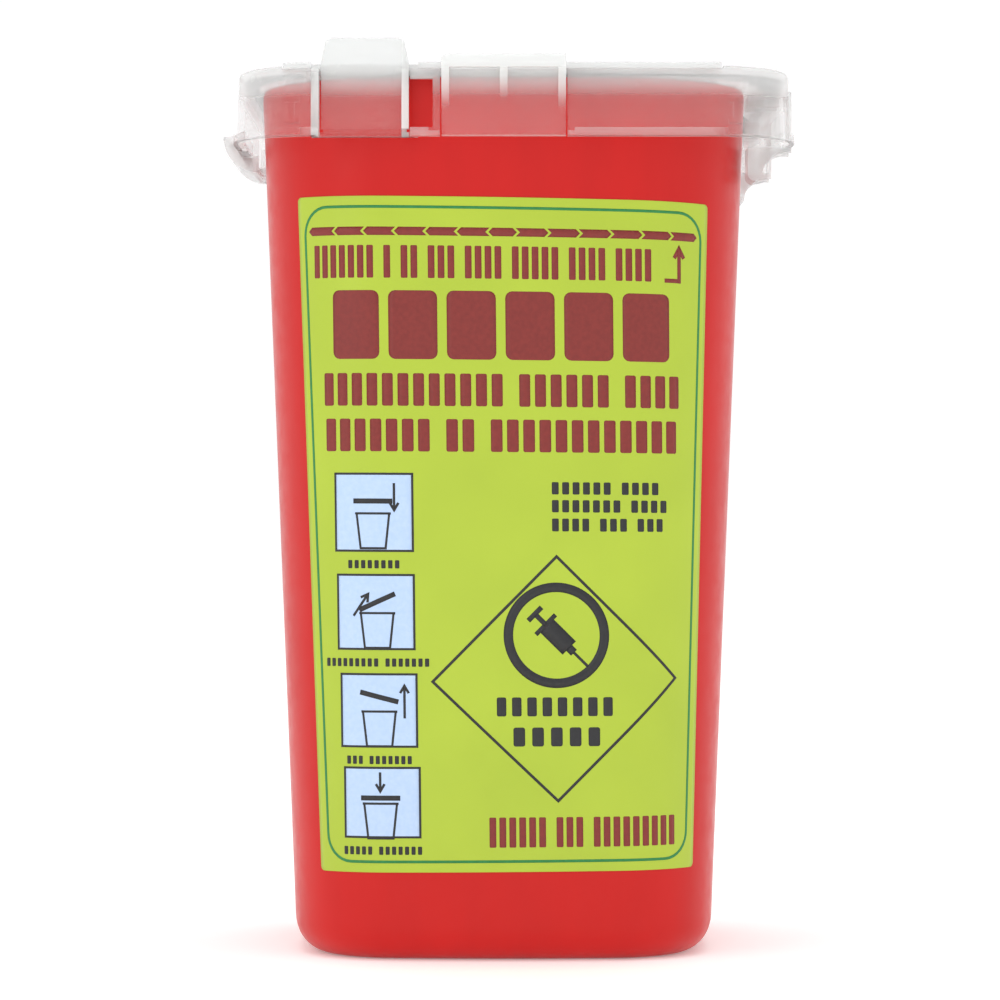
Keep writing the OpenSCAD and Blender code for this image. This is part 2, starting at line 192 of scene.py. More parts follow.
GROUPS = {
    "sharps_tub": TubSizes,
    "sharps_lid": LidSizes,
    "sharps_label": LabelSizes,
    "sharps_colours": Colours,
    "sharps_stage": StageSizes,
}


# ---------------------------------------------------------------- nodes and materials


def linear(hex_colour):
    """An sRGB hex colour as linear red, green, blue and alpha, by the sRGB curve."""
    srgb = np.array([int(hex_colour[i : i + 2], 16) for i in (1, 3, 5)]) / 255
    rgb = np.where(srgb <= 0.04045, srgb / 12.92, ((srgb + 0.055) / 1.055) ** 2.4)
    return (*rgb.tolist(), 1.0)


def add(tree, kind, inputs=None, **settings):
    """Adds a node with its settings, and sets or links its inputs by name or number."""
    made = tree.nodes.new(kind)
    for name, value in settings.items():
        setattr(made, name, value)
    for name, value in (inputs or {}).items():
        if isinstance(value, bpy.types.NodeSocket):
            tree.links.new(value, made.inputs[name])
        else:
            made.inputs[name].default_value = value
    return made


def surface(name, shader_inputs, pattern):
    """A material with one Principled shader; pattern(tree, place) returns the inputs that vary over it."""
    material = bpy.data.materials.new(name)
    material.use_nodes = True
    tree = material.node_tree
    tree.nodes.clear()
    place = add(tree, "ShaderNodeTexCoord").outputs["Object"]
    shader = add(tree, "ShaderNodeBsdfPrincipled", {**shader_inputs, **pattern(tree, place)})
    add(tree, "ShaderNodeOutputMaterial", {"Surface": shader.outputs["BSDF"]})
    return material


def noise(tree, place, spacing, detail=2.0, stretch=(1, 1, 1)):
    """Noise whose features are about spacing metres apart, drawn out along an axis by stretch."""
    mapped = add(tree, "ShaderNodeMapping", {"Vector": place, "Scale": stretch}).outputs["Vector"]
    settings = {"Vector": mapped, "Scale": 1 / spacing, "Detail": detail}
    return add(tree, "ShaderNodeTexNoise", settings).outputs["Fac"]


def spread(tree, factor, low, high):
    """Maps a factor from 0.3-0.7, where noise lies, to a range."""
    return add(
        tree,
        "ShaderNodeMapRange",
        {"Value": factor, "From Min": 0.3, "From Max": 0.7, "To Min": low, "To Max": high},
    ).outputs["Result"]


def blend_colours(tree, factor, first, second):
    """A colour between two hex colours."""
    mix = add(tree, "ShaderNodeMix", {"Factor": spread(tree, factor, 0, 1)}, data_type="RGBA")
    mix.inputs[6].default_value = linear(first)
    mix.inputs[7].default_value = linear(second)
    return mix.outputs[2]


def relief(tree, height, depth, strength=1.0):
    """A bump from a height pattern that is depth metres deep."""
    return add(
        tree, "ShaderNodeBump", {"Height": height, "Distance": depth, "Strength": strength}
    ).outputs["Normal"]


def red_polypropylene_moulded():
    """Injection-moulded polypropylene: semi-gloss, with faint upright flow marks and a soft waviness."""
    c = bpy.context.scene.sharps_colours

    def pattern(tree, place):
        flow = noise(tree, place, 9 * MM, 3.0, (1, 1, 0.25))
        waves = noise(tree, place, 14 * MM, 1.0)
        return {
            "Base Color": blend_colours(tree, flow, c.red, c.deep_red),
            "Roughness": spread(tree, noise(tree, place, 3 * MM, 3.0), 0.3, 0.4),
            "Normal": relief(tree, waves, 0.12 * MM),
        }

    return surface("red_polypropylene_moulded", {"IOR": 1.49, "Specular IOR Level": 0.3}, pattern)


def beyond(tree, value, near, far):
    """A factor that rises from 0 to 1 as a coordinate goes from near to far."""
    ends = {"Value": value, "From Min": near, "From Max": far}
    return add(tree, "ShaderNodeMapRange", ends, interpolation_type="SMOOTHSTEP").outputs["Result"]


def either(tree, first, second):
    """The larger of two factors."""
    return add(tree, "ShaderNodeMath", {0: first, 1: second}, operation="MAXIMUM").outputs[0]


def scaled(tree, factor, share):
    """A factor times a share."""
    return add(tree, "ShaderNodeMath", {0: factor, 1: share}, operation="MULTIPLY").outputs[0]


def milky_places(tree, xyz):
    """Where the moulding is thick or seen on edge, as a factor.

    That is what stands in front of, beside or below the skirt, the deck, and two bands along Y in line
    with the upright edges beside the tongue.
    """
    in_front = beyond(tree, xyz["Y"], SKIRT_FRONT - 0.1 * MM, SKIRT_FRONT - 1.4 * MM)
    left = beyond(tree, xyz["X"], LID_SIDES[0] - 0.05 * MM, LID_SIDES[0] - 0.35 * MM)
    right = beyond(tree, xyz["X"], LID_SIDES[1] + 0.05 * MM, LID_SIDES[1] + 0.35 * MM)
    below = beyond(tree, xyz["Z"], SKIRT_BOTTOM + 0.5 * MM, SKIRT_BOTTOM - 0.2 * MM)
    above = beyond(tree, xyz["Z"], DECK_LEVEL - 4.5 * MM, DECK_LEVEL + 0.8 * MM)
    grips = scaled(tree, either(tree, either(tree, left, right), below), GRIP_MILK)
    milky = either(tree, either(tree, in_front, scaled(tree, above, DECK_MILK)), grips)
    for middle, half in UPRIGHT_RIBS:
        away = add(tree, "ShaderNodeMath", {0: xyz["X"], 1: middle}, operation="SUBTRACT").outputs[0]
        away = add(tree, "ShaderNodeMath", {0: away}, operation="ABSOLUTE").outputs[0]
        milky = either(tree, milky, beyond(tree, away, half + SOFT_EDGE, half - SOFT_EDGE))
    return milky


def corner_shade_places(tree, xyz):
    """The corners and sides of the skirt, where the lid is painted darker and more solid: painted shade for
    the wall curving away and seen aslant.
    """
    low = beyond(tree, xyz["X"], TUB_LOW.x + CORNER_SHADE_REACH, TUB_LOW.x)
    high = beyond(tree, xyz["X"], TUB_HIGH.x - CORNER_SHADE_REACH, TUB_HIGH.x)
    return either(tree, low, high)


def natural_polypropylene_moulded():
    """Unpigmented polypropylene, moulded thin: clear enough for a soft colour, milky where it is thick."""
    c = bpy.context.scene.sharps_colours

    def pattern(tree, place):
        haze = noise(tree, place, 5 * MM, 2.0)
        xyz = add(tree, "ShaderNodeSeparateXYZ", {"Vector": place}).outputs
        milky, corner = milky_places(tree, xyz), corner_shade_places(tree, xyz)
        # painted shade: the corners are made more solid here and darker in colour below
        ends = {"Value": corner, "To Min": CLEAR_ALPHA, "To Max": CORNER_SHADE_ALPHA}
        thin = add(tree, "ShaderNodeMapRange", ends).outputs["Result"]
        ends = {"Value": milky, "To Min": thin, "To Max": MILKY_ALPHA}
        solid = add(tree, "ShaderNodeMapRange", ends).outputs["Result"]
        # painted shade: the darker corner colour is blended in towards the corners
        walls = add(tree, "ShaderNodeMix", {"Factor": corner}, data_type="RGBA")
        tree.links.new(blend_colours(tree, haze, c.natural, c.natural_shade), walls.inputs[6])
        walls.inputs[7].default_value = linear(c.corner)
        tint = add(tree, "ShaderNodeMapRange", {"Value": milky, "From Max": DECK_MILK}).outputs["Result"]
        mix = add(tree, "ShaderNodeMix", {"Factor": tint, 6: walls.outputs[2]}, data_type="RGBA")
        mix.inputs[7].default_value = linear(c.milky)
        return {
            "Base Color": mix.outputs[2],
            "Roughness": spread(tree, haze, 0.2, 0.28),
            "Alpha": solid,
            "Normal": relief(tree, noise(tree, place, 8 * MM, 1.0), 0.05 * MM),
        }

    settings = {
        "IOR": 1.45,
        "Subsurface Weight": 1.0,
        "Subsurface Radius": (1, 1, 1),
        "Subsurface Scale": 2 * MM,
    }
    return surface("natural_polypropylene_moulded", settings, pattern)


def label_film_printed():
    """Polypropylene film label, printed all over and varnished: even, slightly glossy, a little uneven."""
    c = bpy.context.scene.sharps_colours

    def pattern(tree, place):
        return {
            "Base Color": blend_colours(tree, noise(tree, place, 20 * MM, 2.0), c.label, c.label_shade),
            "Roughness": spread(tree, noise(tree, place, 2 * MM, 2.0), 0.34, 0.42),
            "Normal": relief(tree, noise(tree, place, 6 * MM, 2.0), 0.05 * MM),
        }

    return surface("label_film_printed", {"IOR": 1.5, "Coat Weight": 0.2, "Coat Roughness": 0.2}, pattern)


def printed_ink(name, hex_colour, lighter):
    """Screen-printed ink on film: solid colour with a faint mottle, as glossy as the film under it."""

    def pattern(tree, place):
        mottle = noise(tree, place, 0.8 * MM, 2.0)
        return {
            "Base Color": blend_colours(tree, mottle, hex_colour, lighter),
            "Roughness": spread(tree, mottle, 0.36, 0.46),
        }

    return surface(name, {"IOR": 1.5}, pattern)


def lit_acrylic():
    """White acrylic sheet lit from below, as a light table: matt, with a faint moulding texture."""
    c = bpy.context.scene.sharps_colours

    def pattern(tree, place):
        grain = noise(tree, place, 4 * MM, 2.0)
        return {
            "Base Color": blend_colours(tree, grain, c.floor, c.floor_shade),
            "Normal": relief(tree, grain, 0.02 * MM),
        }

    settings = {"Roughness": 0.85, "Emission Color": (1, 1, 1, 1), "Emission Strength": 0.2}
    return surface("lit_acrylic", settings, pattern)


# ---------------------------------------------------------------- surfaces


def piece(name, points, faces, material, smooth=True):
    """A mesh object at the origin from points in metres, and faces as rows of corner numbers."""
    mesh = bpy.data.meshes.new(name)
    mesh.from_pydata(points, [], faces)
    mesh.polygons.foreach_set("use_smooth", np.full(len(mesh.polygons), smooth))
    mesh.materials.append(material)
    mesh.update()
    made = bpy.data.objects.new(name, mesh)
    bpy.context.scene.collection.objects.link(made)
    return made


def grid_faces(rows, columns, closed=False):
    """Quads between neighbouring rows and columns of a grid; closed joins the last column to the first."""
    r = np.arange(rows - 1)[:, None]
    c = np.arange(columns if closed else columns - 1)[None, :]
    d = (c + 1) % columns
    quads = np.stack([r * columns + c, r * columns + d, (r + 1) * columns + d, (r + 1) * columns + c], -1)
    return quads.reshape(-1, 4)


def rim_ends(rows, columns):
    """Fans that close the first and the last row of a closed grid, round the two poles added after it."""
    c = np.arange(columns)
    d = (c + 1) % columns
    first = np.full(columns, rows * columns)
    last = first + 1
    top = (rows - 1) * columns
    return np.stack([d, c, first], 1), np.stack([top + c, top + d, last], 1)


def outline(half, corner, bow):
    """Squares with bowed sides and round corners, one for each value given.

    A side is an arc of radius bow about (half - bow, 0), and a corner is an arc of radius corner about
    (m, m), where m is the place at which both arcs share a tangent; four quarter turns close the outline.
    """
    half, corner, bow = np.broadcast_arrays(*(np.asarray(v, float)[..., None] for v in (half, corner, bow)))
    shift = half - bow
    middle = (shift + np.sqrt(2 * (bow - corner) ** 2 - shift**2)) / 2
    edge = np.arctan2(middle, middle - shift)
    side_steps = np.linspace(-1, 1, 24, endpoint=False)
    corner_steps = np.linspace(0, 1, 28, endpoint=False)
    t = edge * side_steps
    u = edge + (math.pi / 2 - 2 * edge) * corner_steps
    x = np.concatenate([shift + bow * np.cos(t), middle + corner * np.cos(u)], -1)
    y = np.concatenate([bow * np.sin(t), middle + corner * np.sin(u)], -1)
    return np.stack(
        [np.concatenate([x, -y, -x, y], -1), np.concatenate([y, x, -y, -x], -1)], -1
    )


def tub_half(z):
    """Half-width of the tub at a height: a straight taper."""
    t = bpy.context.scene.sharps_tub
    return t.base_width / 2 + (t.rim_width - t.base_width) / 2 * z / t.height


def tub_corner(z):
    """Corner radius of the tub at a height: a straight taper."""
    t = bpy.context.scene.sharps_tub
    return t.base_corner + (t.rim_corner - t.base_corner) * z / t.height


def tub_profile():
    """The tub's wall as rings: how far each is moved in, its height, and how much it is shrunk to the middle.

    It runs from the middle of the recess under the base, over the standing ring, round the bottom edge
    (a quarter circle), up the outside, over the rim (a half circle), down the inside, round the inner
    edge (a quarter circle), and to the middle of the floor.
    """
    t = bpy.context.scene.sharps_tub
    turn = np.linspace(0, math.pi / 2, 13)
    recess = t.foot + t.ring
    soft = 0.35 * t.kick
    inner = t.foot - t.wall
    floor = t.kick + t.wall
    lip = t.wall / 2
    over = np.linspace(0, math.pi, 13)
    up = np.linspace(t.foot, t.height - lip, 40)[1:-1]
    down = np.linspace(t.height - lip, floor + inner, 30)[1:-1]
    shrink = np.linspace(0.08, 1, 8)
    flat = np.ones(1)
    stretches = [
        (np.full(8, recess), np.full(8, t.kick), shrink),
        (recess - soft * np.sin(turn[::4]), t.kick - soft * (1 - np.cos(turn[::4])), np.ones(4)),
        (flat * (recess - soft), flat * soft, flat),
        (recess - 2 * soft + soft * np.cos(turn[::4]), soft - soft * np.sin(turn[::4]), np.ones(4)),
        (t.foot * (1 - np.sin(turn)), t.foot * (1 - np.cos(turn)), np.ones(13)),
        (0 * up, up, np.ones(len(up))),
        (lip * (1 - np.cos(over)), t.height - lip + lip * np.sin(over), np.ones(13)),
        (0 * down + t.wall, down, np.ones(len(down))),
        (t.wall + inner * (1 - np.sin(turn[::-1])), floor + inner * (1 - np.cos(turn[::-1])), np.ones(13)),
        (np.full(7, t.wall + inner), np.full(7, floor), shrink[-2::-1]),
    ]
    return (np.concatenate(parts) for parts in zip(*stretches))


def tub_surface():
    """Every ring of the profile is the tub's outline at that height, moved in and shrunk to the middle.

    The recess and the floor lie inside the bottom edge, so their outline is the one at the base.
    """
    t = bpy.context.scene.sharps_tub
    inset, height, shrink = tub_profile()
    corner = np.maximum(tub_corner(height) - inset, 4 * MM)
    xy = outline(tub_half(height) - inset, corner, t.bow - inset) * shrink[:, None, None]
    rows, columns = xy.shape[:2]
    z = np.broadcast_to(height[:, None, None], (rows, columns, 1))
    points = np.concatenate([xy, z], -1).reshape(-1, 3)
    poles = np.array([[0, 0, height[0]], [0, 0, height[-1]]])
    first, last = rim_ends(rows, columns)
    faces = grid_faces(rows, columns, closed=True).tolist() + first.tolist() + last.tolist()
    return np.concatenate([points, poles]).tolist(), faces


def on_tub(along, z, stand):
    """Points on the front of the tub, standing off it by stand.

    along is the distance from the middle, measured round the outline: first along the bowed side, an
    arc of radius bow, then round the corner arc.
    """
    t = bpy.context.scene.sharps_tub
    bow = t.bow + stand
    corner = tub_corner(z) + stand
    shift = tub_half(z) + stand - bow
    middle = (shift + np.sqrt(2 * (bow - corner) ** 2 - shift**2)) / 2
    edge = np.arctan2(middle, middle - shift)
    far = np.abs(along)
    on_side = far < bow * edge
    turn = np.where(on_side, far / bow, edge + (far - bow * edge) / corner)
    x = np.where(on_side, bow * np.sin(turn), middle + corner * np.sin(turn))
    y = np.where(on_side, shift + bow * np.cos(turn), middle + corner * np.cos(turn))
    return np.stack([np.sign(along) * x, -y, z + 0 * x], -1)


# ---------------------------------------------------------------- label artwork
# The artwork is laid out flat, in millimetres: across from the label's middle, and up from the tub's base.

LEAN_TOP = -0.0165  # fall of the print to the right at the top of the label, as a slope
LEAN_BOTTOM = 0.0075  # rise of the print to the right at its bottom
SHIFT_TOP = -0.25  # sideways place of the label's middle at its top and bottom
SHIFT_BOTTOM = 0.95
ART_STEP = 1.0  # longest step of a printed shape across the label
KEYLINE_IN = 1.9  # keyline inside the label's edge
KEYLINE_W = 0.5
KEYLINE_R = 5.0


def label_share(up):
    """Share of the way from the label's bottom to its top."""
    s = bpy.context.scene.sharps_label
    return (up * MM - s.bottom) / (s.top - s.bottom)


def laid(art, stand):
    """Places flat artwork on the tub, with the small lean and shift of a label put on by hand."""
    across, up = art[..., 0], art[..., 1]
    share = label_share(up)
    lean = LEAN_BOTTOM + (LEAN_TOP - LEAN_BOTTOM) * share
    shift = SHIFT_BOTTOM + (SHIFT_TOP - SHIFT_BOTTOM) * share
    return on_tub((across + shift) * MM, (up + lean * across) * MM, stand)


def ruled(up, left, right):
    """A flat shape ruled across: each row runs from left to right at its height, in equal steps."""
    columns = 2 + int(np.max(right - left) / ART_STEP)
    share = np.linspace(0, 1, columns)
    across = left[:, None] + (right - left)[:, None] * share
    art = np.stack([across, np.broadcast_to(up[:, None], across.shape)], -1)
    return art.reshape(-1, 2), grid_faces(len(up), columns)


def block(left, right, low, high, radius=0.25):
    """A rectangle with round corners, ruled across: its end rows are moved in by a circle."""
    turn = np.linspace(0, math.pi / 2, 5)
    rise = radius * (1 - np.cos(turn))
    inset = radius * (1 - np.sin(turn))
    middle = np.linspace(low + radius, high - radius, 2 + int((high - low) / 4))[1:-1]
    up = np.concatenate([low + rise, middle, high - rise[::-1]])
    inset = np.concatenate([inset, 0 * middle, inset[::-1]])
    return ruled(up, left + inset, right - inset)


def strip(path, width, closed=False):
    """A line of even width along a path: each point is moved to both sides along the mitre of its corner."""
    path = np.asarray(path, float)
    ends = np.roll(path, -1, 0) if closed else path[1:]
    starts = path if closed else path[:-1]
    counts = np.maximum(1, np.ceil(np.linalg.norm(ends - starts, axis=1) / ART_STEP)).astype(int)
    fine = [a + (b - a) * np.arange(n)[:, None] / n for a, b, n in zip(starts, ends, counts)]
    fine = np.concatenate(fine if closed else fine + [path[-1:]])
    step = np.roll(fine, -1, 0) - fine
    if not closed:
        step[-1] = step[-2]
    step /= np.linalg.norm(step, axis=1)[:, None]
    before = np.roll(step, 1, 0)
    if not closed:
        before[0] = step[0]
    mitre = step + before
    mitre /= (1 + np.sum(step * before, 1))[:, None]
    normal = np.stack([-mitre[:, 1], mitre[:, 0]], 1) * width / 2
    art = np.stack([fine + normal, fine - normal], 1).reshape(-1, 2)
    pairs = np.arange(len(fine) if closed else len(fine) - 1) * 2
    after = (pairs + 2) % len(art)
    return art, np.stack([pairs, pairs + 1, after + 1, after], 1)


def ring(across, up, radius, width):
    """A ring: a strip along a circle."""
    turn = np.linspace(0, 2 * math.pi, 72, endpoint=False)
    path = np.stack([across + radius * np.cos(turn), up + radius * np.sin(turn)], 1)
    return strip(path, width, closed=True)


def joined(shapes):
    """Many flat shapes as one list of points and faces."""
    counts = np.cumsum([0] + [len(art) for art, _ in shapes])
    art = np.concatenate([art for art, _ in shapes])
    faces = [(f + n).tolist() for (_, f), n in zip(shapes, counts)]
    return art, [face for group in faces for face in group]


def words(left, right, low, high, letters, fill=0.7, space=0.75):
    """A line of plain blocks that stands for a line of words, letters being the length of each word."""
    pitch = (right - left) / (sum(letters) + space * (len(letters) - 1))
    shapes = []
    x = left
    for count in letters:
        for _ in range(count):
            inset = pitch * (1 - fill) / 2
            shapes.append(block(x + inset, x + pitch - inset, low, high, 0.12 * min(pitch, high - low)))
            x += pitch
        x += space * pitch
    return shapes


def rounded_path(left_low, right_low, left_high, right_high, low, high, radius):
    """A closed path round a trapezium with round corners."""
    turn = np.linspace(0, math.pi / 2, 9)
    arc = np.stack([np.cos(turn), np.sin(turn)], 1) * radius
    quarter = lambda q: arc @ np.array([[math.cos(q), math.sin(q)], [-math.sin(q), math.cos(q)]])
    middles = (
        (right_high - radius, high - radius, 0),
        (left_high + radius, high - radius, math.pi / 2),
        (left_low + radius, low + radius, math.pi),
        (right_low - radius, low + radius, 3 * math.pi / 2),
    )
    return np.concatenate([quarter(q) + (x, y) for x, y, q in middles])


def keyline_art():
    """The green line inside the label's edge."""
    s = bpy.context.scene.sharps_label
    low = s.bottom / MM + KEYLINE_IN
    high = s.top / MM - KEYLINE_IN
    wide = s.top_half / MM - KEYLINE_IN
    narrow = s.bottom_half / MM - KEYLINE_IN
    return [strip(rounded_path(-narrow, narrow, -wide, wide, low, high, KEYLINE_R), KEYLINE_W, closed=True)]


def fill_line_art():
    """The fill line: bars with a point at one end and a notch at the other, from the middle outwards."""
    pitch, gap, tall, point, level = 5.62, 0.55, 1.5, 0.75, 130.4
    side = np.array([-1.0, 0.0, 1.0])
    up = level + side * tall / 2
    slope = point * np.abs(side)
    middle = pitch / 2 - gap / 2
    shapes = [ruled(up, -middle + slope, middle - slope)]
    for k in range(1, 7):
        near = pitch * (k - 0.5) + gap / 2
        far = pitch * (k + 0.5) - gap / 2
        shapes.append(ruled(up, near - slope, far - slope))
        shapes.append(ruled(up, -far + slope, -near + slope))
    return shapes


def arrow(start, end, width, head):
    """A straight arrow: a strip with two short strips for its head."""
    start, end = np.array(start, float), np.array(end, float)
    along = (end - start) / np.linalg.norm(end - start)
    across = np.array([-along[1], along[0]])
    back = end - along * head
    return [
        strip([start, end - along * width / 2], width),
        strip([back + across * head * 0.6, end, back - across * head * 0.6], width),
    ]


def maroon_art():
    """Large print: the fill line, five lines of blocks for words, and an arrow up to the fill line."""
    shapes = fill_line_art()
    shapes += words(-35.3, 26.9, 122.1, 127.9, (7, 1, 2, 3, 4, 5, 4, 4), 0.68)
    shapes += words(-31.9, 30.9, 107.7, 119.9, (6,), 0.84)
    shapes += words(-33.5, 32.4, 99.4, 105.2, (12, 6, 4), 0.7)
    shapes += words(-33.2, 31.8, 91.3, 97.1, (7, 2, 12), 0.72)
    shapes += words(-3.7, 31.0, 20.6, 26.0, (6, 3, 9), 0.68)
    shapes += arrow((32.2, 122.0), (32.2, 128.2), 0.75, 1.7)
    shapes.append(strip([(29.2, 122.4), (32.5, 122.4)], 0.75))
    return shapes


PANELS = (  # left, right, low, high, lengths of the caption's words
    (-31.0, -16.6, 73.6, 87.3, (8,)),
    (-30.7, -16.5, 56.1, 69.3, (9, 7)),
    (-30.2, -16.2, 38.7, 51.6, (3, 7)),
    (-29.7, -15.8, 22.5, 34.9, (5, 7)),
)
CAPTION_H = 1.45
CAPTION_DROP = 2.4


def tub_picture(x, y, lid_rise, lid_tilt):
    """A small picture of a tub with its lid: an open trapezium and a tilted bar over it."""
    slope = math.radians(lid_tilt)
    reach = np.array([math.cos(slope), math.sin(slope)]) * 3.6
    middle = np.array([x, y + lid_rise])
    return [
        strip([(x - 3.0, y), (x - 2.3, y - 6.2), (x + 2.3, y - 6.2), (x + 3.0, y)], 0.4),
        strip([middle - reach, middle + reach], 0.9),
        strip([(x - 3.3, y), (x + 3.3, y)], 0.4),
    ]


def picture_art():
    """The frames of the four pictures, what they show, and their captions as blocks."""
    shapes = []
    scenes = (
        (0.0, 2.2, 0, ((3.9, 5.4), (3.9, 0.6))),
        (0.4, 2.0, 24, ((-4.4, -0.5), (-1.6, 3.4))),
        (0.2, 2.6, -14, ((4.6, -1.2), (4.6, 4.6))),
        (-0.2, 1.0, 0, ((0.0, 5.6), (0.0, 2.2))),
    )
    for (left, right, low, high, letters), (shift, rise, tilt, aim) in zip(PANELS, scenes):
        shapes.append(strip([(left, low), (right, low), (right, high), (left, high)], 0.38, closed=True))
        x, y = (left + right) / 2 + shift, (low + high) / 2 - 0.2
        shapes += tub_picture(x, y, rise, tilt)
        shapes += arrow((x + aim[0][0], y + aim[0][1]), (x + aim[1][0], y + aim[1][1]), 0.45, 1.3)
        reach = 0.62 * sum(letters)
        middle = (left + right) / 2
        level = low - CAPTION_DROP
        shapes += words(
            middle - reach, middle + reach, level - CAPTION_H / 2, level + CAPTION_H / 2, letters, 0.62
        )
    return shapes


EMBLEM = (8.9, 58.6)


def emblem_art():
    """The diamond with a ring in it, and a plain syringe across the ring."""
    x, y = EMBLEM
    diamond = [(8.95, 28.9), (31.0, 50.8), (9.05, 72.7), (-13.3, 50.3)]
    slant = np.array([math.sqrt(0.5), -math.sqrt(0.5)])
    side = np.array([math.sqrt(0.5), math.sqrt(0.5)])
    middle = np.array([x, y])
    at = lambda along, across=0.0: middle + slant * along + side * across
    return [
        strip(diamond, 0.5, closed=True),
        ring(x, y, 8.6, 1.7),
        strip([at(-2.6), at(3.2)], 3.4),
        strip([at(3.2), at(4.4)], 1.5),
        strip([at(4.4), at(7.9)], 0.5),
        strip([at(-5.2), at(-2.6)], 0.9),
        strip([at(-2.7, -2.5), at(-2.7, 2.5)], 0.8),
        strip([at(-5.4, -1.7), at(-5.4, 1.7)], 0.9),
    ]


def small_art():
    """Small black print, as blocks."""
    shapes = words(8.0, 28.0, 83.8, 86.0, (6, 4), 0.66)
    shapes += words(8.0, 29.6, 80.6, 82.8, (7, 4), 0.66)
    shapes += words(8.0, 28.8, 77.2, 79.5, (4, 3, 3), 0.66)
    shapes += words(-2.4, 19.4, 44.1, 47.5, (8,), 0.62)
    shapes += words(0.4, 17.2, 38.7, 42.1, (5,), 0.62)
    return shapes


def panel_art():
    """The pale grounds of the four pictures."""
    return [block(left, right, low, high, 0.1) for left, right, low, high, _ in PANELS]


def print_piece(name, shapes, material, layer):
    """A layer of ink on the label, lifted by its place in the order of printing."""
    s = bpy.context.scene.sharps_label
    art, faces = joined(shapes)
    points = laid(art, s.stand + s.ink * (layer + 1))
    made = piece(name, points.tolist(), faces, material)
    face_out(made)
    thicken(made, s.ink)
    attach(made, "tub")
    return made


def face_out(made):
    """Turns every face of a printed sheet to the front, the way its label looks."""
    mesh = made.data
    normals = np.empty(len(mesh.polygons) * 3, np.float32)
    centres = np.empty(len(mesh.polygons) * 3, np.float32)
    mesh.polygons.foreach_get("normal", normals)
    mesh.polygons.foreach_get("center", centres)
    outward = centres.reshape(-1, 3) * (1, 1, 0)
    wrong = np.sum(normals.reshape(-1, 3) * outward, 1) < 0
    shell = bmesh.new()
    shell.from_mesh(mesh)
    shell.faces.ensure_lookup_table()
    bmesh.ops.reverse_faces(shell, faces=[shell.faces[i] for i in np.flatnonzero(wrong)])
    shell.to_mesh(mesh)
    shell.free()


def thicken(made, thickness):
    """Gives a sheet its thickness, inwards."""
    shell = made.modifiers.new("thickness", "SOLIDIFY")
    shell.thickness = thickness
    shell.offset = -1


# ---------------------------------------------------------------- lid


def moulded_copy(name, node, body, material):
    """A copy of a CAD node: doubles merged, flat faces joined into convex ones, and edges rounded."""
    s = bpy.context.scene.sharps_lid
    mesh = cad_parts[node].data.copy()
    mesh.name = name
    shell = bmesh.new()
    shell.from_mesh(mesh)
    bmesh.ops.remove_doubles(shell, verts=shell.verts, dist=0.002 * MM)
    bmesh.ops.dissolve_limit(shell, angle_limit=math.radians(0.6), verts=shell.verts, edges=shell.edges)
    bmesh.ops.connect_verts_concave(shell, faces=shell.faces)
    bmesh.ops.recalc_face_normals(shell, faces=shell.faces)
    shell.to_mesh(mesh)
    shell.free()
    mesh.materials.clear()
    mesh.materials.append(material)
    mesh.polygons.foreach_set("use_smooth", np.ones(len(mesh.polygons), bool))
    made = bpy.data.objects.new(name, mesh)
    bpy.context.scene.collection.objects.link(made)
    edge = made.modifiers.new("moulded edges", "BEVEL")
    edge.width = s.edge
    edge.segments = s.edge_steps
    edge.limit_method = "ANGLE"
    edge.angle_limit = math.radians(32)
    edge.harden_normals = True
    edge.miter_outer = "MITER_ARC"
    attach(made, body)
    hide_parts(node)
    return made


def bending_film(start, end, half_length, thickness, across, waist):
    """A film between two mouldings: a closed shell along X, thinner at its middle.

    Its section runs from start to end in the YZ plane; half its thickness at share t of the way is
    half of thickness times (waist + (1 - waist) * (2t - 1) squared), to both sides of the line.
    """
    steps = 13
    start, end = np.array(start), np.array(end)
    t = np.linspace(0, 1, steps)[:, None]
    half = thickness / 2 * (waist + (1 - waist) * (2 * t - 1) ** 2)
    line = start + (end - start) * t
    across = np.array(across)
    section = np.concatenate([line + across * half, (line - across * half)[::-1]])
    x = np.linspace(-half_length, half_length, 25)
    points = section[None, :, :] + np.stack([x, 0 * x, 0 * x], 1)[:, None, :]
    rows, columns = points.shape[:2]
    ladder = np.arange(steps - 1)
    back = columns - 1 - ladder
    cap = np.stack([ladder, ladder + 1, back - 1, back], 1)
    far = (rows - 1) * columns
    faces = np.concatenate([grid_faces(rows, columns, closed=True), cap[:, ::-1], cap + far])
    return points.reshape(-1, 3).tolist(), faces.tolist()


# ---------------------------------------------------------------- operators


class SHARPS_OT_tub(bpy.types.Operator):
    """Make the tub"""

    bl_idname = "sharps.tub"
    bl_label = "Tub"

    def execute(self, context):
        points, faces = tub_surface()
        tub = piece("red_tub", points, faces, red_polypropylene_moulded())
        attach(tub, "tub")
        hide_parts("tub")
        return {"FINISHED"}


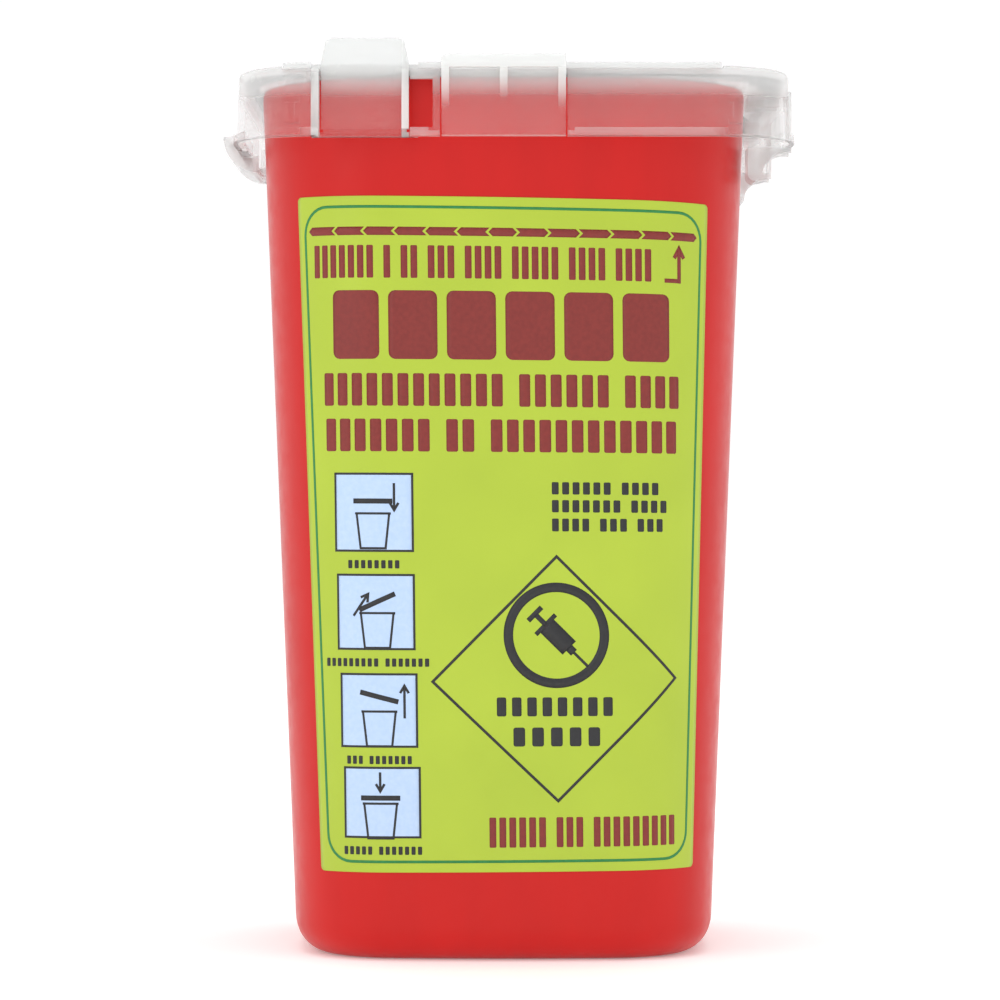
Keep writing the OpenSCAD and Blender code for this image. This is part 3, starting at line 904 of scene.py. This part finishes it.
class SHARPS_OT_label(bpy.types.Operator):
    """Make the label and everything printed on it"""

    bl_idname = "sharps.label"
    bl_label = "Label"

    def execute(self, context):
        s = context.scene.sharps_label
        c = context.scene.sharps_colours
        low, high = s.bottom / MM, s.top / MM
        turn = np.linspace(0, math.pi / 2, 5)
        radius = s.corner / MM
        rise = radius * (1 - np.cos(turn))
        inset = radius * (1 - np.sin(turn))
        middle = np.linspace(low + radius, high - radius, 80)[1:-1]
        up = np.concatenate([low + rise, middle, high - rise[::-1]])
        inset = np.concatenate([inset, 0 * middle, inset[::-1]])
        half = (s.bottom_half + (s.top_half - s.bottom_half) * label_share(up)) / MM - inset
        art, faces = ruled(up, -half, half)
        sheet = piece("label_sheet", laid(art, s.stand).tolist(), faces.tolist(), label_film_printed())
        face_out(sheet)
        thicken(sheet, s.thickness)
        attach(sheet, "tub")
        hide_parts("front_label")
        black = printed_ink("black_ink_printed", c.black, c.black_light)
        green = printed_ink("green_ink_printed", c.keyline, c.keyline_light)
        maroon = printed_ink("maroon_ink_printed", c.maroon, c.maroon_light)
        blue = printed_ink("blue_ink_printed", c.panel, c.panel_light)
        print_piece("keyline", keyline_art(), green, 0)
        print_piece("maroon_print", maroon_art(), maroon, 0)
        print_piece("picture_grounds", panel_art(), blue, 0)
        print_piece("picture_lines", picture_art(), black, 1)
        print_piece("emblem", emblem_art(), black, 0)
        print_piece("small_print", small_art(), black, 0)
        return {"FINISHED"}


class SHARPS_OT_lid(bpy.types.Operator):
    """Make the lid's frame, its flap and its latch tongue"""

    bl_idname = "sharps.lid"
    bl_label = "Lid"

    def execute(self, context):
        natural = natural_polypropylene_moulded()
        moulded_copy("lid_moulding", "lid_frame", "lid", natural)
        moulded_copy("flap_moulding", "drop_flap", "flap", natural)
        moulded_copy("tongue_moulding", "latch_tongue", "tongue", natural)
        return {"FINISHED"}


class SHARPS_OT_films(bpy.types.Operator):
    """Make the two films that the flap and the tongue bend on"""

    bl_idname = "sharps.films"
    bl_label = "Bending films"

    def execute(self, context):
        natural = bpy.data.materials["natural_polypropylene_moulded"]
        waist = context.scene.sharps_lid.film_waist
        low, high = FLAP_FILM_LOW, FLAP_FILM_HIGH
        middle = (low + high) / 2
        start, end = (middle.x, high.y, middle.z), (middle.x, low.y, middle.z)
        half_length = (high.x - low.x) / 2
        points, faces = bending_film(start, end, half_length, high.z - low.z, (0, 0, 1), waist)
        film = piece("flap_film", points, faces, natural)
        close_shell(film)
        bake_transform(film)
        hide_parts("flap_hinge")
        low, high = ROOT_FILM_LOW, ROOT_FILM_HIGH
        middle = (low + high) / 2
        start, end = (middle.x, middle.y, low.z), (middle.x, middle.y, high.z)
        half_length = (high.x - low.x) / 2
        points, faces = bending_film(start, end, half_length, high.y - low.y, (0, -1, 0), waist)
        film = piece("tongue_film", points, faces, natural)
        close_shell(film)
        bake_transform(film)
        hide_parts("tongue_hinge")
        return {"FINISHED"}


def close_shell(made):
    """Turns the faces of a closed shell outwards."""
    shell = bmesh.new()
    shell.from_mesh(made.data)
    bmesh.ops.recalc_face_normals(shell, faces=shell.faces)
    shell.to_mesh(made.data)
    shell.free()


def soft_light(name, place, target, width, height, power):
    """A rectangular area light at a place, turned to a target."""
    lamp = bpy.data.lights.new(name, "AREA")
    lamp.shape = "RECTANGLE"
    lamp.size = width
    lamp.size_y = height
    lamp.energy = power
    made = bpy.data.objects.new(name, lamp)
    made.location = place
    made.rotation_euler = (Vector(target) - Vector(place)).to_track_quat("-Z", "Y").to_euler()
    bpy.context.scene.collection.objects.link(made)


class SHARPS_OT_stage(bpy.types.Operator):
    """Make the floor, the lights and the camera"""

    bl_idname = "sharps.stage"
    bl_label = "Stage"

    def execute(self, context):
        scene = context.scene
        s = scene.sharps_stage
        x = np.linspace(-FLOOR_REACH, FLOOR_REACH, 25)
        points = np.stack(np.broadcast_arrays(x[None, :], x[:, None], 0.0), -1)
        faces = grid_faces(len(x), len(x)).tolist()
        floor = piece("floor", points.reshape(-1, 3).tolist(), faces, lit_acrylic())
        world = bpy.data.worlds.new("studio")
        world.use_nodes = True
        world.node_tree.nodes.clear()
        light = add(world.node_tree, "ShaderNodeBackground", {"Color": (1, 1, 1, 1), "Strength": s.world})
        add(world.node_tree, "ShaderNodeOutputWorld", {"Surface": light.outputs["Background"]})
        scene.world = world
        middle = (0, 0, 0.09)
        soft_light("key", (-0.75, -0.75, 0.55), middle, 0.5, 0.8, s.key)
        soft_light("fill", (0.85, -0.7, 0.3), middle, 0.6, 0.8, s.fill)
        soft_light("top", (0, 0.1, 0.9), middle, 0.7, 0.7, s.top)
        view = bpy.data.cameras.new("camera")
        view.lens = s.lens
        view.sensor_width = 36.0
        view.clip_start = 0.01
        camera = bpy.data.objects.new("camera", view)
        camera.location = (-s.side, -s.distance, s.eye)
        aim = Vector((-s.side, 0, s.aim)) - camera.location
        camera.rotation_euler = aim.to_track_quat("-Z", "Y").to_euler()
        scene.collection.objects.link(camera)
        scene.camera = camera
        scene.view_settings.view_transform = "Standard"
        scene.cycles.transparent_max_bounces = TRANSPARENT_BOUNCES
        return {"FINISHED"}


STEPS = (SHARPS_OT_stage, SHARPS_OT_tub, SHARPS_OT_label, SHARPS_OT_lid, SHARPS_OT_films)


class SHARPS_PT_panel(bpy.types.Panel):
    """Lists the pieces and their sizes"""

    bl_idname = "SHARPS_PT_panel"
    bl_label = "Sharps container"
    bl_space_type = "VIEW_3D"
    bl_region_type = "UI"
    bl_category = "Sharps container"

    def draw(self, context):
        for step in STEPS:
            self.layout.operator(step.bl_idname)
        for name, group in GROUPS.items():
            box = self.layout.box()
            for field in group.__annotations__:
                box.prop(getattr(context.scene, name), field)


def register():
    for name, group in GROUPS.items():
        bpy.utils.register_class(group)
        setattr(bpy.types.Scene, name, PointerProperty(type=group))
    for kind in (*STEPS, SHARPS_PT_panel):
        bpy.utils.register_class(kind)


def unregister():
    for kind in (SHARPS_PT_panel, *reversed(STEPS)):
        bpy.utils.unregister_class(kind)
    for name, group in GROUPS.items():
        delattr(bpy.types.Scene, name)
        bpy.utils.unregister_class(group)


def main():
    register()
    bpy.ops.sharps.stage()
    bpy.ops.sharps.tub()
    bpy.ops.sharps.label()
    bpy.ops.sharps.lid()
    bpy.ops.sharps.films()


if __name__ == "__main__":
    main()
